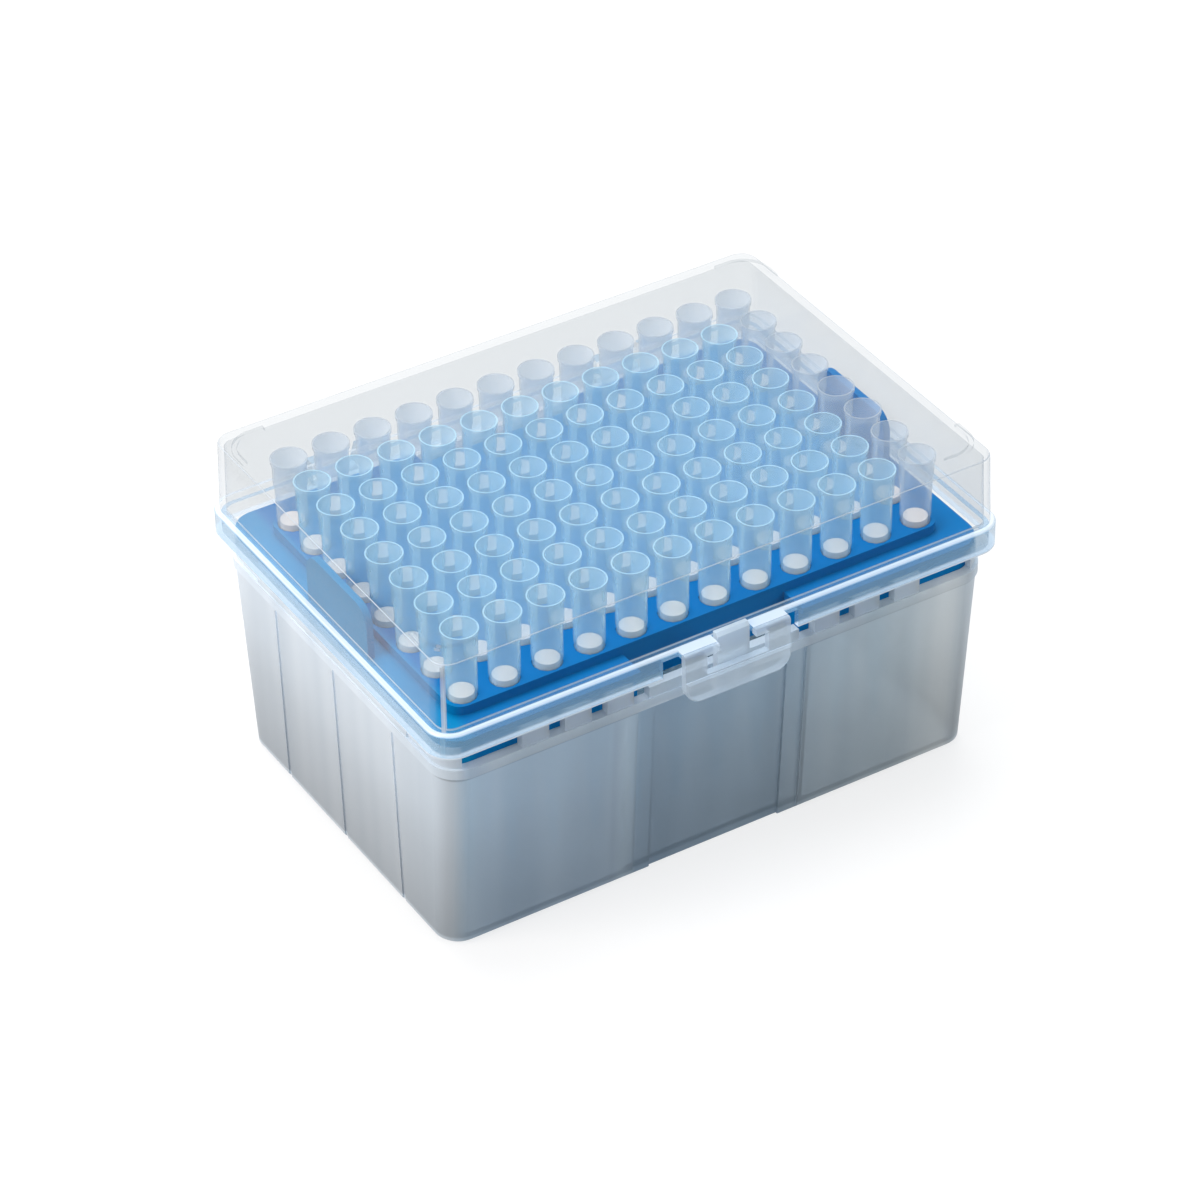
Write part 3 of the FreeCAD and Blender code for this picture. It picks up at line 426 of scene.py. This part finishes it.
# painted light: a bluish tone for the deck's light on the tips, paler tones for the outer tips
# and darker rims on them
tip_tones_painted_blue_light = ((0.50, 0.73, 0.84, 1.0), (0.58, 0.79, 0.88, 1.0))
tip_deep = (0.90, 0.93, 0.95, 1.0)
painted_daylight_tones = ((0.70, 0.75, 0.80, 1.0), (0.76, 0.80, 0.84, 1.0))
painted_daylight_rim_tones = ((0.42, 0.45, 0.48, 1.0), (0.48, 0.51, 0.54, 1.0))
tip_clearness = (0.955, 0.960, 0.965, 1.0)
tip_milk = (2.0, 0.19, 0.62)
painted_daylight_milk = (2.0, 0.12, 0.55)
rim_milk = (2.0, 0.45, 0.60)
tip_gloss = (4.0, 0.0, 0.25)


def hazy_neck(tree):
    """Haze in the thicker neck of each tip."""
    return by_place(tree, "Z", [(0.0500, 0.0), (0.0602, 0.0), (0.0612, 0.28), (0.0670, 0.28)])


def tip_finish(name, tones, milk):
    """The finish of a tip's wall or rim."""
    return clear_plastic(
        name,
        clearness=tip_clearness,
        tones=tones,
        scale=400.0,
        rough=0.20,
        milk=milk,
        gloss=tip_gloss,
        thick_and_highlights=hazy_neck,
        deep=tip_deep,
    )


tip_finishes = [
    tip_finish("clear_tip_polypropylene", tip_tones_painted_blue_light, tip_milk),
    tip_finish("clear_tip_rim", tip_tones_painted_blue_light, rim_milk),
    tip_finish("clear_outer_tip", painted_daylight_tones, painted_daylight_milk),
    tip_finish("clear_outer_tip_rim", painted_daylight_rim_tones, rim_milk),
]

columns = sorted(name for name in nodes if name.startswith("tips_column_"))
deck_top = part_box("rack")[1].z - tabs_above_deck
for column in columns:
    low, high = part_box(column)
    middle = (low.x + high.x) / 2
    first_row = low.y + tip_rim_radius
    last_row = high.y - tip_rim_radius
    pitch = (last_row - first_row) / (tips_per_column - 1)
    centres = [(middle, first_row + row * pitch) for row in range(tips_per_column)]
    section = tip_profile(low.z, deck_top, high.z)
    tips = turned("clear_" + column, section, centres, tip_sides)
    crisp(tips, tips_crease)
    for finish in tip_finishes:
        tips.data.materials.append(finish)
    for face in tips.data.polygons:
        at_rim = face.center.z > high.z - rim_face_depth
        # the last column and the back row take the finishes with painted daylight
        painted_daylight = column == columns[-1] or face.center.y > last_row - pitch / 2
        face.material_index = 2 * painted_daylight + at_rim
    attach(tips, "base")
    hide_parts(column)

# ---------------------------------------------------------------------------
# Filter plugs: short white cylinders, taken as sintered polyethylene beads,
# pressed into the bore of each tip below the mouth and a little narrower below.

plug_sides = 24
plug_crease = 40.0
plug_taper = 0.0001
filter_white = (0.74, 0.61, 0.51, 1.0)
filter_white_pale = (0.84, 0.70, 0.60, 1.0)

sintered, tree, output = start_material("white_sintered_polyethylene")
skin = tree.nodes.new("ShaderNodeBsdfPrincipled")
skin.inputs["Roughness"].default_value = 0.85
beads = moulding_noise(tree, 5200.0, 3.0)
tree.links.new(two_tones(tree, beads, filter_white, filter_white_pale), skin.inputs["Base Color"])
grain(tree, beads, 0.5, 0.00008, skin)
tree.links.new(skin.outputs["BSDF"], output.inputs["Surface"])

for column in columns:
    plugs = column.replace("tips", "filters")
    low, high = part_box(plugs)
    radius = (high.x - low.x) / 2
    middle = (low.x + high.x) / 2
    first_row = low.y + radius
    pitch = (high.y - low.y - 2 * radius) / (tips_per_column - 1)
    mesh = bpy.data.meshes.new("white_" + plugs)
    shape = bmesh.new()
    for row in range(tips_per_column):
        centre = Vector((middle, first_row + row * pitch, (low.z + high.z) / 2))
        bmesh.ops.create_cone(
            shape,
            cap_ends=True,
            cap_tris=False,
            segments=plug_sides,
            radius1=radius - plug_taper,
            radius2=radius,
            depth=high.z - low.z,
            matrix=Matrix.Translation(centre),
        )
    for face in shape.faces:
        face.smooth = True
    shape.to_mesh(mesh)
    shape.free()
    discs = bpy.data.objects.new("white_" + plugs, mesh)
    bpy.context.collection.objects.link(discs)
    crisp(discs, plug_crease)
    discs.data.materials.append(sintered)
    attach(discs, "base")
    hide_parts(plugs)

# ---------------------------------------------------------------------------
# Clear lid: one moulding, taken as clarified polypropylene. It is clear face on,
# milky in its stepped skirt, with painted highlights along its folds and corners and a painted
# shade in the skirt and on the top.

lid_clearness = (0.913, 0.921, 0.926, 1.0)
lid_deep = (0.70, 0.76, 0.82, 1.0)
lid_tones = ((0.66, 0.71, 0.76, 1.0), (0.72, 0.76, 0.80, 1.0))
skirt_painted_blue_shade = (0.45, 0.72, 0.92, 1.0)
skirt_foot = 0.0485
shoulder = 0.0537
line = 0.0002


def lid_milk_and_painted_highlights(tree):
    """Milk in the stepped skirt and painted highlights at its foot and shoulder and at the folds
    and corners, all of it in the outer face.
    """
    # painted highlights: thin bright lines at the skirt's foot and shoulder, a milkier band
    # between them
    skirt_milk_and_highlights = by_place(tree, "Z", [
        (0.0440, 0.08),
        (skirt_foot - line, 0.08),
        (skirt_foot, 0.80),
        (skirt_foot + line, 0.80),
        (skirt_foot + 2 * line, 0.38),
        (shoulder - 2 * line, 0.34),
        (shoulder - line, 0.75),
        (shoulder, 0.75),
        (shoulder + line, 0.0),
        (0.0700, 0.0),
    ])
    facing = split_up(tree, "Normal")
    # painted highlight along the rounded fold round the top, where a face is neither flat nor
    # upright
    slant = worked_out(tree, "ABSOLUTE", facing.outputs["Z"])
    fold = tree.nodes.new("ShaderNodeValToRGB")
    marks = fold.color_ramp.elements
    for position, share in ((0.50, 0.0), (0.60, 0.60), (0.72, 0.60), (0.82, 0.0)):
        mark = marks.new(position)
        mark.color = (share, share, share, 1.0)
    marks[0].color = (0.0, 0.0, 0.0, 1.0)
    marks[-1].color = (0.0, 0.0, 0.0, 1.0)
    tree.links.new(slant, fold.inputs["Fac"])
    above = by_place(tree, "Z", [(0.0440, 0.0), (0.0580, 0.0), (0.0600, 1.0), (0.0700, 1.0)])
    painted_fold_highlight = combined(tree, "MULTIPLY", fold.outputs["Color"], above)
    # painted highlight down each upright corner: |x * y| of the facing is at its highest, 0.5, in
    # the middle of an upright corner
    across = worked_out(tree, "MULTIPLY", facing.outputs["X"], facing.outputs["Y"])
    painted_corner_highlight = spread(tree, worked_out(tree, "ABSOLUTE", across), 0.485, 0.495, 0.0, 0.5)
    edges = worked_out(tree, "MAXIMUM", painted_fold_highlight, painted_corner_highlight)
    # an outer face looks away from the box's origin, an inner one towards it
    coordinates = tree.nodes.new("ShaderNodeTexCoord")
    outward = tree.nodes.new("ShaderNodeVectorMath")
    outward.operation = "DOT_PRODUCT"
    tree.links.new(coordinates.outputs["Object"], outward.inputs[0])
    tree.links.new(coordinates.outputs["Normal"], outward.inputs[1])
    outside = spread(tree, outward.outputs["Value"], 0.0, 0.004)
    return combined(tree, "MULTIPLY", worked_out(tree, "MAXIMUM", skirt_milk_and_highlights, edges), outside)


clarified = clear_plastic(
    "clear_lid_polypropylene",
    clearness=lid_clearness,
    tones=lid_tones,
    scale=35.0,
    rough=0.25,
    milk=(4.0, 0.0, 0.70),
    gloss=(5.0, 0.0, 0.35),
    thick_and_highlights=lid_milk_and_painted_highlights,
    deep=lid_deep,
    # painted shade: a bluish tone in the skirt band and a darker tone on the top
    around=("Z", [
        (0.0440, 1.0),
        (skirt_foot + line, 1.0),
        (skirt_foot + 2 * line, skirt_painted_blue_shade),
        (shoulder - 2 * line, skirt_painted_blue_shade),
        (shoulder - line, 1.0),
        (0.0620, 1.0),
        (0.0660, 0.70),
        (0.0700, 0.70),
    ]),
)
nodes["lid"].material_slots[0].material = clarified

# ---------------------------------------------------------------------------
# Latch: a thin flap in clear plastic, milkier than the lid all over. The lug of
# the base stands in its window.

latch_tones = ((0.54, 0.61, 0.68, 1.0), (0.61, 0.68, 0.74, 1.0))
flap = clear_plastic(
    "clear_latch_polypropylene",
    clearness=(0.93, 0.95, 0.96, 1.0),
    tones=latch_tones,
    scale=160.0,
    rough=0.30,
    milk=(2.0, 0.35, 0.80),
    gloss=(4.0, 0.01, 0.25),
)
nodes["latch"].material_slots[0].material = flap

# ---------------------------------------------------------------------------
# Stage: a plain pale floor, a pale room, three soft lamps and the camera. Floor
# and room look white to the camera and through the clear plastic, but light the
# box with less than that.

floor_half_width = 6.0
floor_drop = 0.0002
floor_white = 0.73


def seen_straight_on(tree):
    """1 for a ray from the camera, a mirror or a clear piece, 0 for one that only lights."""
    ray = tree.nodes.new("ShaderNodeLightPath")
    seen = worked_out(tree, "MAXIMUM", ray.outputs["Is Camera Ray"], ray.outputs["Is Glossy Ray"])
    return worked_out(tree, "MAXIMUM", seen, ray.outputs["Is Transmission Ray"])


floor_mesh = bpy.data.meshes.new("studio_floor")
shape = bmesh.new()
bmesh.ops.create_grid(shape, x_segments=1, y_segments=1, size=floor_half_width)
shape.to_mesh(floor_mesh)
shape.free()
floor = bpy.data.objects.new("studio_floor", floor_mesh)
bpy.context.collection.objects.link(floor)
floor.location.z = -floor_drop
paper, tree, output = start_material("pale_paper")
sheet = tree.nodes.new("ShaderNodeBsdfDiffuse")
sheet.inputs["Color"].default_value = (0.22, 0.22, 0.22, 1.0)
bright = tree.nodes.new("ShaderNodeEmission")
bright.inputs["Color"].default_value = (1.0, 1.0, 1.0, 1.0)
level = tree.nodes.new("ShaderNodeMath")
level.operation = "MULTIPLY"
level.inputs[1].default_value = floor_white
tree.links.new(seen_straight_on(tree), level.inputs[0])
tree.links.new(level.outputs[0], bright.inputs["Strength"])
both = tree.nodes.new("ShaderNodeAddShader")
tree.links.new(sheet.outputs[0], both.inputs[0])
tree.links.new(bright.outputs[0], both.inputs[1])
tree.links.new(both.outputs[0], output.inputs["Surface"])
floor.data.materials.append(paper)

scene = bpy.context.scene
world = bpy.data.worlds.new("studio")
scene.world = world
world.use_nodes = True
tree = world.node_tree
tree.nodes.clear()
output = tree.nodes.new("ShaderNodeOutputWorld")
room = tree.nodes.new("ShaderNodeBackground")
room.inputs["Color"].default_value = (0.84, 0.93, 1.0, 1.0)
room.inputs["Strength"].default_value = 0.40
backdrop = tree.nodes.new("ShaderNodeBackground")
backdrop.inputs["Color"].default_value = (1.0, 1.0, 1.0, 1.0)
backdrop.inputs["Strength"].default_value = 1.0
choice = join(tree, seen_straight_on(tree), room, backdrop)
tree.links.new(choice.outputs[0], output.inputs["Surface"])


def softbox(name, place, aim, size, power, tint):
    """A square area lamp at a place, turned to a point."""
    lamp = bpy.data.lights.new(name, "AREA")
    lamp.color = tint
    lamp.shape = "SQUARE"
    lamp.size = size
    lamp.energy = power
    holder = bpy.data.objects.new(name, lamp)
    holder.location = place
    holder.rotation_euler = (Vector(aim) - Vector(place)).to_track_quat("-Z", "Y").to_euler()
    bpy.context.collection.objects.link(holder)
    return holder


box_middle = (0.0, 0.0, 0.04)
softbox("key_left", (-0.75, 0.05, 0.55), box_middle, 0.5, 8.2, (1.0, 0.95, 0.92))
softbox("top_back", (0.10, 0.35, 0.95), box_middle, 0.7, 10.5, (1.0, 1.0, 1.0))
fill_right = softbox("fill_right", (0.60, -0.80, 0.45), box_middle, 0.5, 4.6, (0.92, 0.97, 1.0))
# seen from low behind, the lid's top would mirror this lamp as solid white
fill_right.visible_glossy = False

lens = bpy.data.cameras.new("camera")
lens.sensor_width = 36.0
lens.lens = 146.3
lens.clip_start = 0.05
lens.clip_end = 20.0
camera = bpy.data.objects.new("camera", lens)
bpy.context.collection.objects.link(camera)
camera_azimuth = math.radians(-31.02)
camera_elevation = math.radians(36.626)
camera_roll = math.radians(-1.162)
camera.matrix_world = (
    Matrix.Translation((-0.3857, -0.6395, 0.5882))
    @ Matrix.Rotation(camera_azimuth, 4, "Z")
    @ Matrix.Rotation(math.pi / 2 - camera_elevation, 4, "X")
    @ Matrix.Rotation(camera_roll, 4, "Z")
)
scene.camera = camera
scene.view_settings.view_transform = "Standard"
scene.cycles.transparent_max_bounces = 64
